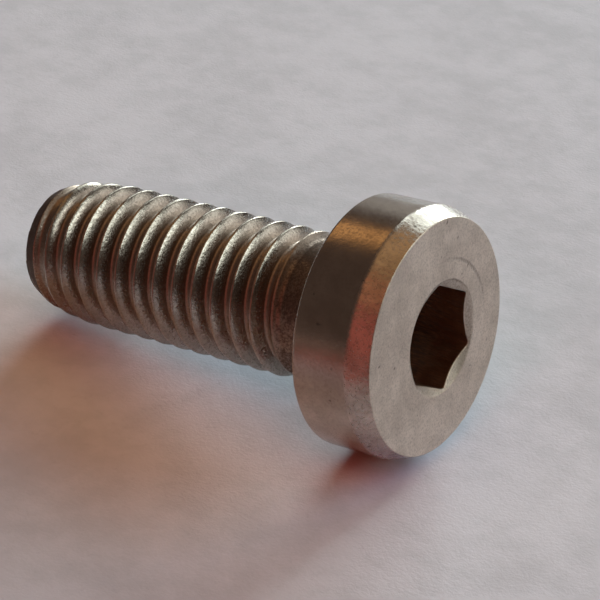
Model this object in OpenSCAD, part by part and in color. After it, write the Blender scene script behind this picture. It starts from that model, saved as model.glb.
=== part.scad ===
// Low-head hex socket cap screw, M8 x 1.25, threaded up to a short neck. It lies on the rear
// edge of its head and on the last crest of its thread. Millimetres, +Z up, head towards +X.
// Each module draws the screw upright: its axis is Z, and z = 0 is the seat under the head.

/* [Head] */
// Diameter of the head
head_d = 13; // [12.5:0.1:15]
// Height of the head, from the seat to the top face
head_h = 4.3; // [4:0.1:6]
// Diameter of the flat top face, inside the bevel
top_face_d = 12.14; // [11:0.02:12.3]
// Height of the bevel between the top face and the side
bevel_h = 1.1; // [0.4:0.05:1.5]
// Radius that blends the bevel into the side
bevel_blend_r = 0.8; // [0.1:0.1:1]
// Radius of the rear edge, between the side and the seat
rear_edge_r = 0.2; // [0.1:0.05:0.4]

/* [Socket] */
// Width across the flats of the hexagon
socket_af = 5.05; // [4:0.05:5.2]
// Depth of the flats below the top face
socket_depth = 3.4; // [2:0.1:3.6]
// Diameter of the countersink at the top face
countersink_d = 6; // [5.9:0.05:7]
// Full angle of the countersink
countersink_angle = 120; // [90:5:130]
// Full angle of the drilled point under the hexagon
drill_point_angle = 120; // [110:2:150]
// Distance from the axis of the head to the axis of the socket
socket_offset = 0.5; // [0:0.05:0.7]
// Direction of that distance around the head, from the line that faces the floor
socket_offset_angle = 60; // [-180:5:180]

/* [Thread] */
// Diameter over the crests
thread_d = 7.84; // [7.6:0.02:8]
// Distance from crest to crest
pitch = 1.25; // [1:0.05:1.4]
// Diameter at the bottom of the groove
root_d = 6.44; // [6.3:0.02:6.6]
// Width of the crest along the axis
crest_w = 0.17; // [0.1:0.01:0.25]
// Width of the root along the axis; with the crest it leaves flanks at 60 degrees
root_w = 0.36; // [0.25:0.01:0.45]
// Height of the middle of the crest above its edges
crest_rise = 0.03; // [0.01:0.01:0.05]
// Depth of the middle of the root below its edges
root_dip = 0.05; // [0.01:0.01:0.08]
// Length from the seat under the head to the end of the screw
length = 20; // [16:0.5:40]
// Distance below the seat of a crest, on the line that faces the floor
crest_offset = 0.29; // [0:0.05:1.2]
// Diameter of the flat end
end_d = 6.2; // [5:0.1:6.2]
// Angle of the end chamfer from the axis
end_chamfer_angle = 45; // [30:1:50]

/* [Neck] */
// Diameter of the plain neck under the head
neck_d = 7.1; // [7:0.05:7.5]
// Radius of the fillet between the neck and the seat
neck_fillet_r = 0.5; // [0.2:0.1:0.6]
// Length of the neck, from the seat to where the groove has run out
neck_l = 2.5; // [1.5:0.1:4]
// Length over which the groove runs out
runout_l = 1.25; // [0.8:0.05:2.5]

/* [Facets] */
// Facets of the thread around the axis
thread_facets = 44; // [24:4:48]
// Steps in each rounded edge of the section
edge_steps = 6; // [3:1:12]
// Facets of the turned surfaces in the preview
$fn = 120; // [48:12:240]

/* [Hidden] */

steel = [0.56, 0.53, 0.49];

head_r = head_d / 2;
top_face_r = top_face_d / 2;
thread_r = thread_d / 2;
root_r = root_d / 2;
end_r = end_d / 2;
neck_r = neck_d / 2;

// The bevel is a cone, with an arc that is tangent to the cone and to the side
bevel_slope = atan2(head_r - top_face_r, bevel_h);
blend_r = min(bevel_blend_r, 0.9 * bevel_h / tan(bevel_slope / 2));
blend_z = head_h - bevel_h - blend_r * tan(bevel_slope / 2);

// How far a cut runs past the face that it opens in
cut_clearance = 0.5;

// One pitch of the thread, as [distance from the crest in pitches, radius] of each helical line
crest_half = crest_w / 2 / pitch;
root_half = root_w / 2 / pitch;
helix_lines = [
    [0, thread_r],
    [crest_half, thread_r - crest_rise],
    [0.5 - root_half, root_r + root_dip],
    [0.5, root_r],
    [0.5 + root_half, root_r + root_dip],
    [1 - crest_half, thread_r - crest_rise]
];

// The thread ends inside the neck, this far under its surface
bury = 0.1;

// The last crest that the end chamfer leaves whole is the one that rests on the floor
end_chamfer_l = (thread_r - end_r) / tan(end_chamfer_angle);
last_crest = length - end_chamfer_l - crest_w / 2;
resting_crest = crest_offset + pitch * floor((last_crest - crest_offset) / pitch);

// The floor is tangent to the rear edge of the head and to that crest, which tilts the axis
lie_run = resting_crest + rear_edge_r;
lie_drop = head_r - rear_edge_r - thread_r;
tilt = atan2(lie_drop, lie_run) + asin(rear_edge_r / norm([lie_run, lie_drop]));

// Height of the seat above the floor on the axis, and the ends of the lying screw along X
seat_z = resting_crest * sin(tilt) + thread_r * cos(tilt);
front_x = head_h * cos(tilt) + top_face_r * sin(tilt);
back_x = -length * cos(tilt) - end_r * sin(tilt);

// Arc of the section from angle a to angle b, as [radius, z] points
function arc(centre, r, a, b) = [
    for (i = [0:edge_steps])
        let (angle = a + (b - a) * i / edge_steps)
            centre + r * [cos(angle), sin(angle)]
];

// Half section of the head and the neck. The neck ends in a cone that is hidden in the thread.
// The seam of the turned surfaces faces up.
module turned_body() {
    rotate([0, 0, 180]) rotate_extrude()
        polygon(concat(
            [[0, -neck_l - neck_r / 2], [neck_r / 2, -neck_l - neck_r / 2], [neck_r, -neck_l]],
            arc([neck_r + neck_fillet_r, -neck_fillet_r], neck_fillet_r, 180, 90),
            arc([head_r - rear_edge_r, rear_edge_r], rear_edge_r, -90, 0),
            arc([head_r - blend_r, blend_z], blend_r, 0, bevel_slope),
            [[top_face_r, head_h], [0, head_h]]
        ));
}

// Hexagon with its corners on the floor line, a countersink above and a drilled point below
module socket() {
    countersink_r = countersink_d / 2;
    countersink_h = countersink_r / tan(countersink_angle / 2);
    clearance_r = cut_clearance * tan(countersink_angle / 2);
    point_h = socket_af / 2 / tan(drill_point_angle / 2);
    offset_x = socket_offset * cos(socket_offset_angle);
    offset_y = socket_offset * sin(socket_offset_angle);
    translate([offset_x, offset_y, head_h - socket_depth])
        cylinder(h = socket_depth + cut_clearance, r = socket_af / 2 / cos(30), $fn = 6);
    translate([offset_x, offset_y, head_h - countersink_h])
        cylinder(h = countersink_h + cut_clearance, r1 = 0, r2 = countersink_r + clearance_r);
    translate([offset_x, offset_y, head_h - socket_depth - point_h])
        cylinder(h = point_h, r1 = 0, r2 = socket_af / 2);
}

// Right-hand thread with a chamfered end and a groove that runs out at the neck.
// The surface is ruled between helical lines. A line that leaves the thread at either end
// is held at that end, so its points there are one point of the end's rim.
module thread() {
    line_count = len(helix_lines);
    first_z = -crest_offset - pitch * (ceil((length - crest_offset) / pitch) + 1);
    rows = line_count * ceil((-neck_l - first_z) / pitch + 1);

    // A flat between two columns faces the floor
    function turn(column) = (column + 0.5) / thread_facets;
    function row_z(row, column) =
        first_z
        + pitch * (floor(row / line_count) + helix_lines[row % line_count][0] + turn(column));
    function depth_share(z) = min(1, (-neck_l - z) / runout_l);
    function radius(row, z) = min(
        neck_r - bury + (helix_lines[row % line_count][1] - neck_r + bury) * depth_share(z),
        end_r + (z + length) * tan(end_chamfer_angle)
    );
    function point(row, column) =
        let (
            z = row_z(row, column),
            angle = 360 * turn(column),
            end = z <= -length,
            r = end ? end_r : z >= -neck_l ? neck_r - bury : radius(row, z)
        )
        [r * cos(angle), r * sin(angle), end ? -length : min(z, -neck_l)];

    // After a full turn a line goes on as the same line of the next pitch
    function index(row, column) =
        let (z = row_z(row, column), first = column % thread_facets)
        z <= -length ? first
        : z >= -neck_l ? (rows - 1) * thread_facets + first
        : column < thread_facets ? row * thread_facets + column
        : (row + line_count) * thread_facets;
    function triangle(a, b, c) = a == b || b == c || a == c ? [] : [[a, b, c]];

    polyhedron(
        [for (row = [0:rows - 1], column = [0:thread_facets - 1]) point(row, column)],
        concat(
            [
                for (row = [0:rows - 2], column = [0:thread_facets - 1])
                    let (
                        a = index(row, column),
                        b = index(row + 1, column),
                        c = index(row + 1, column + 1),
                        d = index(row, column + 1)
                    )
                    each concat(triangle(a, b, c), triangle(a, c, d))
            ],
            [[for (column = [0:thread_facets - 1]) column]],
            [[for (column = [thread_facets - 1:-1:0]) (rows - 1) * thread_facets + column]]
        )
    );
}

module cap_screw() {
    color(steel)
        translate([-(front_x + back_x) / 2, 0, seat_z])
            rotate([0, 90 - tilt, 0]) {
                difference() {
                    turned_body();
                    socket();
                }
                thread();
            }
}

cap_screw();
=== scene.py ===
"""Low-head hex socket cap screw, M8 x 1.25, at rest on a sheet of paper."""
import math

import bpy
from mathutils import Matrix, Vector, noise


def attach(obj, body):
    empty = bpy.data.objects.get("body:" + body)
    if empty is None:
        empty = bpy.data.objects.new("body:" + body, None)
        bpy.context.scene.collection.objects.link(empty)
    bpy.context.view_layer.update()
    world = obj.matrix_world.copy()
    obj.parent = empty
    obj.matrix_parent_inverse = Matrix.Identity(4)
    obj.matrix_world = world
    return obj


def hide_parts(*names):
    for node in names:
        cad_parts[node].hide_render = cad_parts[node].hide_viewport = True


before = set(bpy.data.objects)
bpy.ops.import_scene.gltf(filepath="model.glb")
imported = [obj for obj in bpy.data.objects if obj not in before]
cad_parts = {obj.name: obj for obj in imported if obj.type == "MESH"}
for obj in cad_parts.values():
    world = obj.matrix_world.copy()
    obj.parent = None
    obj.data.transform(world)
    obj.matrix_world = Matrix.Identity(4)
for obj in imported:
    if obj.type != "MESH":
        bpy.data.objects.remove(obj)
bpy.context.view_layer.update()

MM = 0.001

# ---------------------------------------------------------------- sizes, in millimetres
# The screw is drawn upright: its axis is Z, z = 0 is the seat and the head is above it. Once it
# lies, angle 0 round that axis faces the floor, 90 degrees the far side and 180 degrees up.
HEAD_R = 13 / 2
HEAD_H = 4.3
TOP_FACE_R = 12.14 / 2
TOP_EDGE_R = 0.08
BEVEL_H = 1.1
BEVEL_BLEND_R = 0.8
REAR_EDGE_R = 0.2
RING_MARK_R = 4.05

SOCKET_AF = 5.05
SOCKET_CORNER_CUT = 0.05
SOCKET_DEPTH = 3.4
COUNTERSINK_R = 6.0 / 2
COUNTERSINK_ANGLE = math.radians(120)
DRILL_POINT_ANGLE = math.radians(120)
SOCKET_OFFSET = 0.5
SOCKET_OFFSET_ANGLE = math.radians(60)
SOCKET_CENTRE = (
    SOCKET_OFFSET * math.cos(SOCKET_OFFSET_ANGLE),
    SOCKET_OFFSET * math.sin(SOCKET_OFFSET_ANGLE),
)

LENGTH = 20
THREAD_R = 7.84 / 2
ROOT_R = 6.44 / 2
PITCH = 1.25
CREST_OFFSET = 0.29
END_R = 6.2 / 2

# The worn tooth, with its slope in degrees, and the worn taper towards the end
CREST_FLAT = 0.01
CREST_SEAM = 0.008
CREST_ROUND = 0.10
FLANK_ROUND = 2.7
FLANK_SLOPE = 62
ROOT_DIP = 0.05
END_SLOPE = math.radians(24)
WORN_L, WORN_SLOPE = 3.5, 0.118

NECK_R = 7.1 / 2
NECK_FILLET_R = 0.5
NECK_L = 2.5
RUNOUT_L = 1.25

# Each point has a groove number: 0 on bare metal, 1 at the thread's root, more where it is
# darkest.
# The darkening is partly film and residue, partly painted shade in the hollows, the socket and
# under the head.
NECK_GROOVE = 1.25
END_GROOVE = 1.35
SOCKET_GROOVE = 1.3

COLUMNS = 180
STEP = 2 * math.pi / COLUMNS

# ---------------------------------------------------------------- the pose at rest
# The CAD solid's crests and end chamfer, which differ from the worn ones. The rear edge of its
# head and its last whole crest touch the floor.
SOLID_CREST_W = 0.17
SOLID_END_CHAMFER = math.radians(45)
last_crest = LENGTH - (THREAD_R - END_R) / math.tan(SOLID_END_CHAMFER) - SOLID_CREST_W / 2
resting_crest = CREST_OFFSET + PITCH * math.floor((last_crest - CREST_OFFSET) / PITCH)
lie_run = resting_crest + REAR_EDGE_R
lie_drop = HEAD_R - REAR_EDGE_R - THREAD_R
tilt = math.atan2(lie_drop, lie_run) + math.asin(REAR_EDGE_R / math.hypot(lie_run, lie_drop))
seat_z = resting_crest * math.sin(tilt) + THREAD_R * math.cos(tilt)
front_x = HEAD_H * math.cos(tilt) + TOP_FACE_R * math.sin(tilt)
back_x = -LENGTH * math.cos(tilt) - END_R * math.sin(tilt)
POSE = (
    Matrix.Scale(MM, 4)
    @ Matrix.Translation((-(front_x + back_x) / 2, 0, seat_z))
    @ Matrix.Rotation(math.pi / 2 - tilt, 4, "Y")
)

# ---------------------------------------------------------------- mesh of the screw
FACE, BEVEL, SIDE, THREAD, SOCKET = range(5)


def at(value, angle):
    """A number that may be given as a function of the angle."""
    return value(angle) if callable(value) else value


class Mesh:
    """Points with their groove numbers, and faces with the zone that each is in."""

    def __init__(self):
        self.points, self.grooves, self.faces, self.zones = [], [], [], []

    def point(self, p, groove=0.0):
        self.points.append(p)
        self.grooves.append(groove)
        return len(self.points) - 1

    def face(self, corners, zone):
        """A face without the corners that repeat the one before, if at least 3 are left."""
        ring = [c for i, c in enumerate(corners) if c != corners[i - 1]]
        if len(ring) > 2:
            self.faces.append(ring)
            self.zones.append(zone)

    def ring(self, radius, z, groove=0.0, centre=(0.0, 0.0)):
        """A ring of points; radius, z and groove are numbers or functions of the angle."""
        made = []
        for j in range(COLUMNS):
            angle = j * STEP
            r = at(radius, angle)
            p = (centre[0] + r * math.cos(angle), centre[1] + r * math.sin(angle), at(z, angle))
            made.append(self.point(p, at(groove, angle)))
        return made

    def join(self, low, high, zone):
        """Faces between two rings, seen from outside with the low ring towards the tip."""
        for j in range(COLUMNS):
            k = (j + 1) % COLUMNS
            self.face((low[j], low[k], high[k], high[j]), zone)

    def stack(self, rim, rings, zone, centre):
        """Joins rings of (radius, z, groove) to a rim, one after the other; gives the last."""
        for radius, z, groove in rings:
            ring = self.ring(radius, z, groove, centre)
            self.join(rim, ring, zone)
            rim = ring
        return rim


screw = Mesh()


def smooth(t):
    t = max(0.0, min(1.0, t))
    return t * t * (3 - 2 * t)


def rounded(corners):
    """The polyline of (r, z, zone, fillet radius), with arcs and guard points at its corners."""
    guard, steps = 0.04, 7
    out = [corners[0][:3]]
    for i in range(1, len(corners) - 1):
        (x0, y0), (x1, y1), (x2, y2) = (c[:2] for c in corners[i - 1 : i + 2])
        zone, radius = corners[i][2:]
        a = Vector((x0 - x1, y0 - y1)).normalized()
        b = Vector((x2 - x1, y2 - y1)).normalized()
        half = a.angle(b) / 2
        back = radius / math.tan(half)
        corner = Vector((x1, y1))
        p, q = corner + a * back, corner + b * back
        centre = corner + (a + b).normalized() * (radius / math.sin(half))
        out.append((*(p + a * guard), corners[i - 1][2]))
        start = math.atan2(p.y - centre.y, p.x - centre.x)
        sweep = math.atan2(q.y - centre.y, q.x - centre.x) - start
        sweep = (sweep + math.pi) % (2 * math.pi) - math.pi
        for k in range(steps + 1):
            angle = start + sweep * k / steps
            out.append((
                centre.x + radius * math.cos(angle),
                centre.y + radius * math.sin(angle),
                corners[i - 1][2] if k == 0 else zone,
            ))
        out.append((*(q + b * guard), zone))
    out.append(corners[-1][:3])
    return out


def tooth_side(bends):
    """Half a tooth, as (distance from the crest, radius), down to the middle of the root.

    Each bend is the slope in degrees that an arc ends at, and the arc's radius.
    """
    root_edge = ROOT_R + ROOT_DIP
    d, r, before = CREST_FLAT, THREAD_R, 0.0
    points = [(0.0, THREAD_R - CREST_SEAM), (d, r)]
    for degrees, radius in bends:
        slope = math.radians(degrees)
        d += radius * (math.sin(slope) - math.sin(before))
        r -= radius * (math.cos(before) - math.cos(slope))
        before = slope
        points.append((d, r))
    low_d = d + (r - root_edge) / math.tan(before)
    for share in (0.12, 0.4, 0.7, 0.92, 1.0):
        points.append((d + (low_d - d) * share, r + (root_edge - r) * share))
    for share, dip in ((0.25, 0.6), (0.6, 0.92), (1.0, 1.0)):
        points.append((low_d + (PITCH / 2 - low_d) * share, root_edge - ROOT_DIP * dip))
    return points


def thread_lines():
    """The lines that follow the helix, as (distance from the crest, radius, groove number).

    The tooth has a fine seam on its crest and is crowned on its flank towards the head.
    """
    to_head = tooth_side((
        (15, CREST_ROUND), (30, CREST_ROUND), (42, CREST_ROUND), (54, CREST_ROUND / 2),
        (56, FLANK_ROUND), (58, FLANK_ROUND), (60, FLANK_ROUND), (FLANK_SLOPE, FLANK_ROUND),
    ))
    to_tip = tooth_side([(slope, CREST_ROUND / 4) for slope in (22, 44, FLANK_SLOPE)])
    line = to_head + [(PITCH - d, r) for d, r in reversed(to_tip[1:-1])]
    return [(d, r, (THREAD_R - r) / (THREAD_R - ROOT_R)) for d, r in line]


def crest_wear(angle, turn):
    """How deep the crest is worn, in broad and in fine waves."""
    broad = noise.noise(Vector((math.cos(angle) * 2.3, math.sin(angle) * 2.3, turn * 1.7)))
    fine = noise.noise(Vector((math.cos(angle) * 9, math.sin(angle) * 9, turn * 9.1)))
    return 0.012 + 0.012 * broad + 0.008 * fine


def thread_point(angle, turn, z, r, groove):
    """A point of the thread, with its wear, the run-out, the worn taper and the end's cone."""
    r -= (1 - groove) ** 4 * crest_wear(angle, turn)
    share = smooth((-NECK_L - z) / RUNOUT_L)
    r = NECK_R + (r - NECK_R) * share
    from_end = z + LENGTH
    low_crest = THREAD_R - max(0.0, WORN_L - from_end) * WORN_SLOPE
    r = ROOT_R + (r - ROOT_R) * (low_crest - ROOT_R) / (THREAD_R - ROOT_R)
    cone = END_R + from_end * math.tan(END_SLOPE)
    if cone < r:
        r, groove = cone, END_GROOVE
    p = (r * math.cos(angle), r * math.sin(angle), z)
    return screw.point(p, NECK_GROOVE + (groove - NECK_GROOVE) * share**3)


def build_thread(end_rim, neck_rim):
    """The helix between two rims. What would pass a rim, or lie closer than reach, is on it."""
    reach = 0.004
    lines = thread_lines()
    count = len(lines)
    first_z = -CREST_OFFSET - PITCH * (math.ceil((LENGTH - CREST_OFFSET) / PITCH) + 1)
    rows = count * math.ceil((-NECK_L - first_z) / PITCH + 1)
    made = {}

    def index(row, column):
        if column == COLUMNS:
            row, column = row + count, 0
        turn = row // count + column / COLUMNS
        d, r, groove = lines[row % count]
        z = first_z + PITCH * turn + d
        if z <= -LENGTH + reach:
            return end_rim[column]
        if z >= -NECK_L - reach:
            return neck_rim[column]
        if (row, column) not in made:
            made[row, column] = thread_point(column * STEP, turn, z, r, groove)
        return made[row, column]

    for row in range(rows - 1):
        for column in range(COLUMNS):
            corners = (
                index(row, column),
                index(row, column + 1),
                index(row + 1, column + 1),
                index(row + 1, column),
            )
            screw.face(corners, THREAD)


# The flat end and its rounded edge
pole = screw.point((0, 0, -LENGTH))
rings = [screw.ring(r, -LENGTH) for r in (0.6, 1.6, 2.6, END_R - 0.12, END_R - 0.06)]
for j in range(COLUMNS):
    screw.face((pole, rings[0][(j + 1) % COLUMNS], rings[0][j]), THREAD)
rings.append(screw.ring(END_R - 0.02, -LENGTH + 0.006))
rings.append(screw.ring(END_R + 0.01, -LENGTH + 0.03))
for low, high in zip(rings, rings[1:]):
    screw.join(low, high, THREAD)

# The thread, the neck, the seat, the side, the bevel and the edge of the face
# The neck and the fillet under the head carry NECK_GROOVE, which darkens them: painted shade
# under the head, partly residue
neck_rim = screw.ring(NECK_R, -NECK_L, NECK_GROOVE)
build_thread(rings[-1], neck_rim)
outline = rounded([
    (NECK_R, -NECK_L, THREAD, 0),
    (NECK_R, 0, SIDE, NECK_FILLET_R),
    (HEAD_R, 0, SIDE, REAR_EDGE_R),
    (HEAD_R, HEAD_H - BEVEL_H, BEVEL, BEVEL_BLEND_R),
    (TOP_FACE_R, HEAD_H, FACE, TOP_EDGE_R),
    (5.4, HEAD_H, FACE, 0),
])
rim, zone = neck_rim, THREAD
for r, z, next_zone in outline[1:]:
    ring = screw.ring(r, z, NECK_GROOVE if r < NECK_R + NECK_FILLET_R / 2 else 0.0)
    screw.join(rim, ring, zone)
    rim, zone = ring, next_zone


def ring_mark_darkening(share):
    """The ring mark's groove numbers, which darken it: most above the socket, on the far side.
    """
    middle = math.radians(135)
    return lambda angle: share * (0.9 * max(0.0, math.cos((angle - middle) * 0.9)) ** 2)


def rim_darkening(share):
    """The groove numbers of the countersink's rim, which darken it: most above the socket."""
    middle = math.radians(165)
    return lambda angle: share * (0.35 + 0.65 * max(0.0, math.cos(angle - middle)))


def hexagon(angle):
    """The radius of the hexagon, whose corners are cut a little."""
    across = (angle + math.pi / 6) % (math.pi / 3) - math.pi / 6
    flat = SOCKET_AF / 2 / math.cos(math.pi / 6 - abs(across))
    return min(flat, SOCKET_AF / 2 / math.cos(math.pi / 6) - SOCKET_CORNER_CUT)


def hexagon_plus(more):
    """The hexagon's radius and a bit more, or less."""
    return lambda angle: hexagon(angle) + more


def cone_r(angle):
    """The radius three quarters of the way out on the countersink."""
    return hexagon(angle) + (COUNTERSINK_R - hexagon(angle)) * 0.75


def cone_z(r):
    """The height of the countersink at a radius."""
    return HEAD_H - (COUNTERSINK_R - r) / math.tan(COUNTERSINK_ANGLE / 2)


def lip_z(rise):
    """The height at which the hexagon cuts the countersink, and a rise above it."""
    return lambda angle: cone_z(hexagon(angle)) + rise


# The face, from rings round the head's axis to rings round the socket's, and the ring mark
halfway = (SOCKET_CENTRE[0] * 0.5, SOCKET_CENTRE[1] * 0.5)
rim = screw.stack(rim, [(4.9, HEAD_H, 0.0)], FACE, halfway)
rim = screw.stack(rim, (
    (RING_MARK_R + 0.16, HEAD_H, 0.0),
    (RING_MARK_R + 0.07, HEAD_H - 0.006, ring_mark_darkening(0.9)),
    (RING_MARK_R, HEAD_H - 0.012, ring_mark_darkening(1.1)),
    (RING_MARK_R - 0.09, HEAD_H - 0.008, ring_mark_darkening(0.8)),
    (RING_MARK_R - 0.22, HEAD_H, 0.0),
    (3.5, HEAD_H, 0.0),
), FACE, SOCKET_CENTRE)

# The countersink, from its rim to its worn edge with the hexagon
rim = screw.stack(rim, (
    (COUNTERSINK_R + 0.1, HEAD_H, 0.0),
    (COUNTERSINK_R + 0.03, HEAD_H - 0.002, rim_darkening(1.0)),
    (COUNTERSINK_R - 0.01, HEAD_H - 0.012, rim_darkening(1.15)),
    # Painted shade, partly film: the countersink's cone and the lip at the hexagon are darkened
    # all round
    (cone_r, lambda angle: cone_z(cone_r(angle)), 0.85),
    (hexagon_plus(0.035), lip_z(0.018), 0.9),
    (hexagon_plus(0.012), lip_z(0.002), 0.1),
    (hexagon, lip_z(-0.022), 0.0),
    (hexagon, lip_z(-0.06), 0.4),
), FACE, SOCKET_CENTRE)

# The hexagon, the rounded foot of its walls and the drilled point
point_h = SOCKET_AF / 2 / math.tan(DRILL_POINT_ANGLE / 2)
bottom_z = HEAD_H - SOCKET_DEPTH
rim = screw.stack(rim, (
    # Painted shade, partly residue: the walls darken further down the socket
    (hexagon, HEAD_H - 0.9, 0.7),
    (hexagon, HEAD_H - 1.8, 1.2),
    (hexagon, bottom_z + 0.05, SOCKET_GROOVE),
    (hexagon_plus(-0.02), bottom_z + 0.01, SOCKET_GROOVE),
    (hexagon_plus(-0.06), bottom_z, SOCKET_GROOVE),
    (SOCKET_AF / 2 - 0.04, bottom_z - 0.01, SOCKET_GROOVE),
    (1.6, bottom_z - point_h * 0.36, SOCKET_GROOVE),
    (0.7, bottom_z - point_h * 0.72, SOCKET_GROOVE),
), SOCKET, SOCKET_CENTRE)
pole = screw.point((*SOCKET_CENTRE, bottom_z - point_h), 1.0)
for j in range(COLUMNS):
    screw.face((rim[j], rim[(j + 1) % COLUMNS], pole), SOCKET)


# ---------------------------------------------------------------- materials
def direction(azimuth, elevation):
    """A unit vector, from degrees round from +X towards +Y and degrees up from the floor."""
    a, e = math.radians(azimuth), math.radians(elevation)
    return Vector((math.cos(a) * math.cos(e), math.sin(a) * math.cos(e), math.sin(e)))


class Nodes:
    """A short way to make and link shader nodes."""

    def __init__(self, tree):
        self.tree = tree
        tree.nodes.clear()

    def put(self, socket, value):
        """Links a socket to the value if that is an output, or sets it."""
        if isinstance(value, bpy.types.NodeSocket):
            self.tree.links.new(value, socket)
        else:
            socket.default_value = value

    def add(self, kind, settings=None, **inputs):
        """A node. Its inputs are named with _ for a space, or numbered as i0, i1 and so on."""
        node = self.tree.nodes.new(kind)
        for key, value in (settings or {}).items():
            setattr(node, key, value)
        for key, value in inputs.items():
            numbered = key[0] == "i" and key[1:].isdigit()
            self.put(node.inputs[int(key[1:]) if numbered else key.replace("_", " ")], value)
        return node

    def math(self, operation, a, b, clamp=False):
        settings = {"operation": operation, "use_clamp": clamp}
        return self.add("ShaderNodeMath", settings, i0=a, i1=b).outputs[0]

    def plus(self, a, b, clamp=False):
        return self.math("ADD", a, b, clamp)

    def times(self, a, b):
        return self.math("MULTIPLY", a, b)

    def swing(self, value, size):
        """A noise that swings round 0, size wide."""
        return self.times(self.math("SUBTRACT", value, 0.5), size)

    def vector(self, operation, *values):
        """A vector math node."""
        inputs = {f"i{i}": value for i, value in enumerate(values)}
        return self.add("ShaderNodeVectorMath", {"operation": operation}, **inputs)

    def noise(self, vector, scale, detail, roughness):
        node = self.add("ShaderNodeTexNoise", None, Vector=vector, Scale=scale, Detail=detail,
                        Roughness=roughness)
        return node.outputs["Fac"]

    def span(self, value, low, high, to_low=0.0, to_high=1.0):
        """A smooth step from to_low to to_high while the value goes from low to high."""
        settings = {"interpolation_type": "SMOOTHSTEP"}
        node = self.add("ShaderNodeMapRange", settings, i0=value, i1=low, i2=high, i3=to_low,
                        i4=to_high)
        return node.outputs[0]

    def blend(self, share, a, b):
        """Colour a, with a share of it replaced by colour b."""
        node = self.add("ShaderNodeMix", {"data_type": "RGBA"}, i0=share)
        for socket, value in ((node.inputs[6], a), (node.inputs[7], b)):
            self.put(socket, (*value, 1.0) if isinstance(value, tuple) else value)
        return node.outputs[2]

    def near(self, where, azimuth, elevation, inner, outer):
        """1 within inner degrees of a direction, and smoothly down to 0 at outer degrees."""
        dot = self.vector("DOT_PRODUCT", where, direction(azimuth, elevation)).outputs["Value"]
        return self.span(dot, math.cos(math.radians(outer)), math.cos(math.radians(inner)))


def new_material(name):
    """A material, its nodes and the object coordinates, in metres."""
    material = bpy.data.materials.new(name)
    material.use_nodes = True
    n = Nodes(material.node_tree)
    return material, n, n.add("ShaderNodeTexCoord").outputs["Object"]


RESIDUE = (0.05, 0.034, 0.027)
DULL = (0.17, 0.14, 0.12)


def steel(name, light, dark, rough, dents, grain, grain_scale, dull_share,
          film_and_shade=(DULL, 0.3, 1.6), residue_and_shade=RESIDUE, worn_and_highlight=None, stretch=(1, 1, 1)):
    """Stainless steel, blotched from dark to light, darkened in its hollows by film, residue and
    painted shade.

    rough is the lowest and highest roughness, and dents and grain are depths in metres.
    film_and_shade is a colour and the groove numbers between which it comes in,
    residue_and_shade the colour of the deepest parts, and worn_and_highlight the colour of bare
    edges. Both darkenings are partly film and residue, partly painted shade; the bare edges are
    partly wear, partly painted highlight. A small number in stretch draws the grain out along
    that axis.
    """
    material, n, where = new_material(name)
    groove = n.add("ShaderNodeAttribute", {"attribute_name": "groove"}).outputs["Fac"]
    blotch = n.plus(
        n.times(n.noise(where, 700.0, 4.0, 0.6), 0.6),
        n.times(n.noise(where, 230.0, 2.0, 0.5), 0.4),
    )
    pits = n.noise(where, 2400.0, 1.0, 0.5)
    drawn = n.vector("MULTIPLY", where, stretch).outputs[0]
    fine = n.noise(drawn, grain_scale, 3.0, 0.7)
    depth = n.plus(groove, n.plus(n.swing(blotch, 0.7), n.swing(fine, 0.5)))
    # Painted shade, partly film and residue: the steel darkens as its groove number grows
    film_and_shade_share = n.span(depth, *film_and_shade[1:])
    residue_and_shade_share = n.span(depth, 1.05, 1.35)

    colour = n.blend(n.span(blotch, 0.36, 0.62), dark, light)
    # Lighter bare edges and crests: partly wear, partly a painted highlight
    if worn_and_highlight:
        edge = n.plus(groove, n.swing(fine, 0.05))
        colour = n.blend(n.span(edge, 0.0, 0.03), worn_and_highlight, colour)
    colour = n.blend(film_and_shade_share, colour, film_and_shade[0])
    colour = n.blend(residue_and_shade_share, colour, residue_and_shade)
    colour = n.blend(n.span(fine, 0.42, 0.7, 0.0, dull_share), colour, DULL)
    colour = n.blend(n.span(pits, 0.72, 0.84, 0.0, 0.7), colour, RESIDUE)

    roughness = n.plus(n.span(fine, 0.3, 0.7, *rough), n.times(film_and_shade_share, 0.12))
    roughness = n.plus(roughness, n.times(residue_and_shade_share, 0.35), clamp=True)
    dented = n.add("ShaderNodeBump", None, Strength=1.0, Distance=dents,
                   Height=n.noise(where, 2000.0, 2.0, 0.5))
    bump = n.add("ShaderNodeBump", None, Strength=1.0, Distance=grain, Height=fine,
                 Normal=dented.outputs[0])
    shader = n.add("ShaderNodeBsdfPrincipled", None, Metallic=1.0, Base_Color=colour,
                   Roughness=roughness, Normal=bump.outputs[0])
    n.add("ShaderNodeOutputMaterial", None, Surface=shader.outputs[0])
    return material


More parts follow.
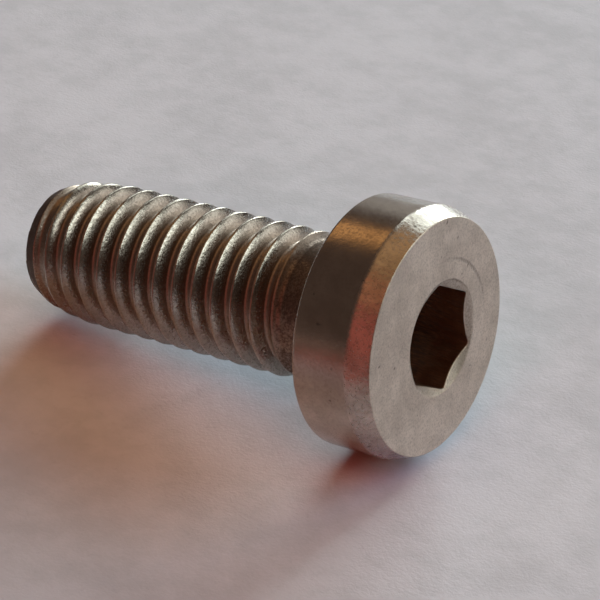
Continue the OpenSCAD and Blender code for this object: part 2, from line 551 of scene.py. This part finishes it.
# In the order of the zones
SCREW_MATERIALS = (
    steel("face_steel", light=(0.72, 0.63, 0.545), dark=(0.55, 0.475, 0.405),
          rough=(0.30, 0.46), dents=8e-6, grain=14e-6, grain_scale=9000, dull_share=0.35),
    steel("bevel_steel", light=(0.68, 0.62, 0.57), dark=(0.46, 0.41, 0.37),
          rough=(0.17, 0.32), dents=28e-6, grain=9e-6, grain_scale=5000, dull_share=0.3),
    steel("side_steel", light=(0.54, 0.48, 0.43), dark=(0.43, 0.375, 0.33),
          rough=(0.16, 0.27), dents=8e-6, grain=4e-6, grain_scale=7000, dull_share=0.25),
    # Painted shade: this steel is darker than the head's, standing in for the dark room its
    # flanks mirror; its roots darken with film and residue, partly painted shade, and its bare
    # crests are partly wear, partly painted highlight
    steel("thread_steel", light=(0.44, 0.405, 0.36), dark=(0.33, 0.295, 0.26),
          rough=(0.15, 0.26), dents=12e-6, grain=10e-6, grain_scale=8000, dull_share=0.6,
          film_and_shade=((0.37, 0.30, 0.255), 0.1, 0.8), residue_and_shade=(0.115, 0.085, 0.07),
          worn_and_highlight=(0.46, 0.41, 0.365)),
    # Painted shade, partly residue: dark red-brown steel for the socket, a recess
    steel("socket_steel", light=(0.50, 0.29, 0.18), dark=(0.30, 0.15, 0.09),
          rough=(0.3, 0.5), dents=20e-6, grain=30e-6, grain_scale=7000, dull_share=0.5,
          film_and_shade=((0.34, 0.17, 0.105), 0.3, 1.6), residue_and_shade=(0.21, 0.10, 0.06),
          stretch=(0.15, 1, 1)),
)


def paper():
    """Cloudy paper with darker fibres and a fine tooth."""
    material, n, where = new_material("paper")
    cloud = n.plus(
        n.times(n.noise(where, 90.0, 4.0, 0.6), 0.5),
        n.times(n.noise(where, 420.0, 4.0, 0.65), 0.5),
    )
    fibre = n.noise(where, 1500.0, 4.0, 0.7)
    grain = n.noise(where, 5200.0, 2.0, 0.6)
    colour = n.blend(n.span(cloud, 0.36, 0.62), (0.418, 0.401, 0.404), (0.487, 0.467, 0.472))
    colour = n.blend(n.span(fibre, 0.2, 0.45, 0.35, 0.0), colour, (0.33, 0.315, 0.32))
    bump = n.add("ShaderNodeBump", None, Strength=0.4, Distance=0.00003,
                 Height=n.plus(grain, n.times(fibre, 1.2)))
    shader = n.add("ShaderNodeBsdfPrincipled", None, Base_Color=colour, Roughness=0.9,
                   Specular_IOR_Level=0.1, Normal=bump.outputs[0])
    n.add("ShaderNodeOutputMaterial", None, Surface=shader.outputs[0])
    return material


# The glowing card, a painted reflection, in metres and degrees: clear at its near edge, solid
# from CARD_SOLID outwards
CARD_NEAR, CARD_SOLID, CARD_FAR = 0.010, 0.038, 0.6
CARD_Z = 0.0001
CARD_AZIMUTHS = range(-170, -39, 10)


def painted_reflection_glow():
    """A painted reflection: a weak glow, redder towards one side, that fades out near the screw.
    """
    material, n, where = new_material("painted_reflection_card")
    distance = n.vector("LENGTH", where).outputs["Value"]
    share = n.near(n.vector("NORMALIZE", where).outputs[0], -80, 0, 16, 34)
    colour = n.blend(share, (0.16, 0.105, 0.083), (0.28, 0.092, 0.074))
    emission = n.add("ShaderNodeEmission", None, Color=colour)
    clear = n.add("ShaderNodeBsdfTransparent")
    cover = n.add("ShaderNodeMixShader", None, i0=n.span(distance, CARD_NEAR, CARD_SOLID),
                  i1=clear.outputs[0], i2=emission.outputs[0])
    n.add("ShaderNodeOutputMaterial", None, Surface=cover.outputs[0])
    return material


# ---------------------------------------------------------------- objects
def new_object(name, data):
    made = bpy.data.objects.new(name, data)
    bpy.context.collection.objects.link(made)
    return made


def new_mesh_object(name, points, faces, materials):
    data = bpy.data.meshes.new(name)
    data.from_pydata(points, [], faces)
    for material in materials:
        data.materials.append(material)
    return new_object(name, data)


piece = new_mesh_object("screw_body", [POSE @ Vector(p) for p in screw.points], screw.faces,
                        SCREW_MATERIALS)
piece.data.attributes.new("groove", "FLOAT", "POINT").data.foreach_set("value", screw.grooves)
piece.data.polygons.foreach_set("material_index", screw.zones)
piece.data.polygons.foreach_set("use_smooth", [True] * len(screw.faces))
piece.data.update()
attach(piece, "root")
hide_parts("cap_screw")

FLOOR_HALF = 2.0
floor_corners = [(x * FLOOR_HALF, y * FLOOR_HALF, 0)
                 for x, y in ((-1, -1), (1, -1), (1, 1), (-1, 1))]
floor = new_mesh_object("floor", floor_corners, [(0, 1, 2, 3)], [paper()])

# ---------------------------------------------------------------- light
LAMP_DISTANCE = 1.2


def area_light(name, azimuth, elevation, wide, high, radiance, on):
    """A lamp that fills wide by high degrees of what the screw sees.

    With on="paper" it lights only the paper, and with on="steel" only the steel mirrors it.
    """
    width, height = (2 * LAMP_DISTANCE * math.tan(math.radians(x) / 2) for x in (wide, high))
    data = bpy.data.lights.new(name, "AREA")
    data.shape = "RECTANGLE"
    data.size, data.size_y = width, height
    strongest = max(radiance)
    data.color = [c / strongest for c in radiance]
    data.energy = strongest * math.pi * width * height
    lamp = new_object(name, data)
    towards = direction(azimuth, elevation)
    lamp.location = towards * LAMP_DISTANCE
    lamp.rotation_mode = "QUATERNION"
    lamp.rotation_quaternion = towards.to_track_quat("Z", "Y")
    lamp.visible_glossy = on == "steel"
    lamp.visible_diffuse = on == "paper"
    lamp.visible_camera = False


# A low window behind the screw, another one to its right, and the room
area_light("window", 99, 13.5, 30, 10, (46, 56, 60), "paper")
area_light("window_sky", 99, 30, 30, 12, (2.1, 5.3, 6.2), "paper")
area_light("side_window", 40, 14, 30, 14, (9.5, 9.0, 7.2), "paper")
area_light("side_sky", 40, 30, 40, 30, (0.05, 2.2, 4.1), "paper")
area_light("ceiling", 0, 88, 70, 70, (0.95, 0.82, 0.53), "paper")
area_light("room_fill", -60, 40, 60, 50, (1.35, 0.08, 0.02), "paper")
# The same windows and walls, as bright as a photo shows them
area_light("window_pane", 100, 17, 25, 17, (8.6, 9.5, 9.1), "steel")
area_light("window_high", 102, 39, 40, 22, (1.5, 1.68, 1.6), "steel")
area_light("side_light", 12, 41, 48, 14, (3.0, 3.3, 3.1), "steel")
area_light("side_wall", 52, 18, 34, 22, (1.55, 1.6, 1.5), "steel")

# A glowing card on the paper, on the camera's side, a painted reflection of a darker, redder
# floor:
# the steel mirrors it and no camera sees it
card_corners = [direction(azimuth, 0) * reach
                for azimuth in CARD_AZIMUTHS for reach in (CARD_NEAR, CARD_FAR)]
painted_reflection_card = new_mesh_object("painted_reflection_card", [(c.x, c.y, CARD_Z) for c in card_corners],
                       [(i, i + 1, i + 3, i + 2) for i in range(0, len(card_corners) - 2, 2)],
                       [painted_reflection_glow()])
painted_reflection_card.visible_camera = painted_reflection_card.visible_diffuse = painted_reflection_card.visible_shadow = False

# The dark room, which lights no paper, and the patches of it that the steel mirrors: azimuth,
# elevation, inner and outer radius in degrees, and colour
ROOM_LOW, ROOM_HIGH = (0.082, 0.061, 0.050), (0.080, 0.055, 0.043)
ROOM_PATCHES = (
    (158, 44, 4, 12, (0.85, 0.45, 0.17)),
    (-80, 55, 10, 26, (0.40, 0.165, 0.085)),
    (-80, 20, 10, 30, (0.33, 0.088, 0.065)),
    (122, 12, 6, 22, (0.36, 0.34, 0.32)),
    (60, 84, 12, 34, (0.42, 0.25, 0.12)),
)
world = bpy.data.worlds.new("room")
world.use_nodes = True
bpy.context.scene.world = world
world.cycles_visibility.diffuse = False
n = Nodes(world.node_tree)
where = n.add("ShaderNodeTexCoord").outputs["Generated"]
height = n.add("ShaderNodeSeparateXYZ", None, Vector=where).outputs["Z"]
room = n.blend(n.span(height, 0.0, 0.12), ROOM_LOW, ROOM_HIGH)
for azimuth, elevation, inner, outer, colour in ROOM_PATCHES:
    room = n.blend(n.near(where, azimuth, elevation, inner, outer), room, colour)
background = n.add("ShaderNodeBackground", None, Color=room, Strength=1.0)
n.add("ShaderNodeOutputWorld", None, Surface=background.outputs[0])

# ---------------------------------------------------------------- camera
CAMERA_AZIMUTH, CAMERA_ELEVATION, CAMERA_ROLL = 33.483, 30.735, 2.884
CAMERA_DISTANCE = 0.120966
CAMERA_AIM = Vector((0.0013235, 0.0034354, 0.0035910))
CAMERA_LENS, CAMERA_SENSOR = 135.69, 36
CAMERA_CLIP = 0.01, 10
back = direction(CAMERA_AZIMUTH - 90, CAMERA_ELEVATION)
right = back.cross(Vector((0, 0, -1))).normalized()
right.rotate(Matrix.Rotation(math.radians(CAMERA_ROLL), 3, back))
up = back.cross(right)
camera_data = bpy.data.cameras.new("camera")
camera_data.lens = CAMERA_LENS
camera_data.sensor_width = CAMERA_SENSOR
camera_data.clip_start, camera_data.clip_end = CAMERA_CLIP
camera = new_object("camera", camera_data)
turn = Matrix((right, up, back)).transposed().to_4x4()
camera.matrix_world = Matrix.Translation(CAMERA_AIM + back * CAMERA_DISTANCE) @ turn
bpy.context.scene.camera = camera
bpy.context.scene.view_settings.view_transform = "Standard"
